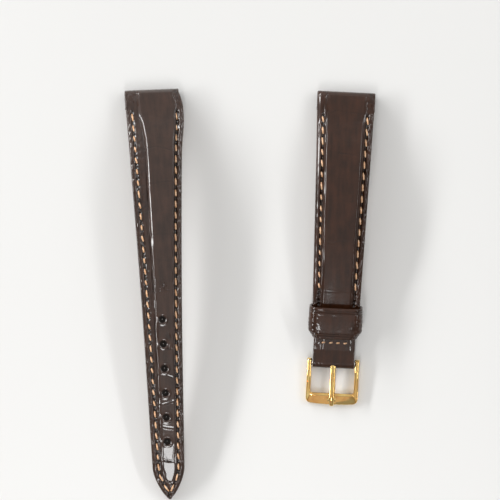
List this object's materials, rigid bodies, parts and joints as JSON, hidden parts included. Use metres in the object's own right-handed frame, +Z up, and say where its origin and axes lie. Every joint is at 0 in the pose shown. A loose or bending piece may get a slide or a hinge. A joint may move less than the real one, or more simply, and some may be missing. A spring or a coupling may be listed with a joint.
{
  "type": "leather watch strap",
  "caption": "Two-piece padded leather watch strap with stitched edges, a fixed keeper and a pin buckle, both halves laid out flat and arched.",
  "frame": {"origin": "middle of the pair's footprint, on the surface that both halves lie on", "axes": "+X from the long half to the short half, +Y towards the lug ends, +Z up"},
  "size_m": [0.0606, 0.0992, 0.0103],
  "materials": {
    "upper_leather": "glossy embossed dark brown",
    "lining_leather": "smooth matte brown",
    "padding_felt": "soft filler",
    "liner_tape": "woven tape",
    "thread": "waxed linen",
    "gold_plate": "polished gold plate",
    "bar_steel": "bright steel"
  },
  "bodies": {
    "short_half": {"short_upper": "upper_leather", "short_padding": "padding_felt", "short_reinforcement": "liner_tape", "short_lining": "lining_leather", "short_lug_liner": "liner_tape", "short_stitching": "thread", "tab_stitching": "thread", "keeper": "upper_leather", "spring_bar_tube": "bar_steel", "spring_bar_spring": "bar_steel"},
    "long_half": {"long_upper": "upper_leather", "long_padding": "padding_felt", "long_reinforcement": "liner_tape", "long_lining": "lining_leather", "long_lug_liner": "liner_tape", "long_stitching": "thread"},
    "buckle": {"buckle_frame": "gold_plate"},
    "tang": {"buckle_tang": "gold_plate"},
    "bar_tip_left": {"spring_bar_tip_left": "bar_steel"},
    "bar_tip_right": {"spring_bar_tip_right": "bar_steel"}
  },
  "joints": [
    {"name": "buckle_swing", "type": "hinge", "parent": "short_half", "child": "buckle", "pos_m": [0.02011, -0.01653, 0.00135], "axis": [-0.9988, 0.0489, 0], "range_deg": [-90, 35]},
    {"name": "tang_swing", "type": "hinge", "parent": "buckle", "child": "tang", "pos_m": [0.02011, -0.01653, 0.00135], "axis": [-0.9988, 0.0489, 0], "range_deg": [0, 80]},
    {"name": "bar_tip_left_press", "type": "slide", "parent": "short_half", "child": "bar_tip_left", "axis": [0.9988, -0.0489, 0], "range_m": [0, 0.0008], "stiffness_N_per_m": 300, "springref_m": -0.0005, "deforming": ["spring_bar_spring"]},
    {"name": "bar_tip_right_press", "type": "slide", "parent": "short_half", "child": "bar_tip_right", "axis": [-0.9988, 0.0489, 0], "range_m": [0, 0.0008], "stiffness_N_per_m": 300, "springref_m": -0.0005, "deforming": ["spring_bar_spring"]},
    {"name": "long_half_lift", "type": "slide", "parent": "short_half", "child": "long_half", "axis": [0, 0, 1], "range_m": [0, 0.03]}
  ]
}
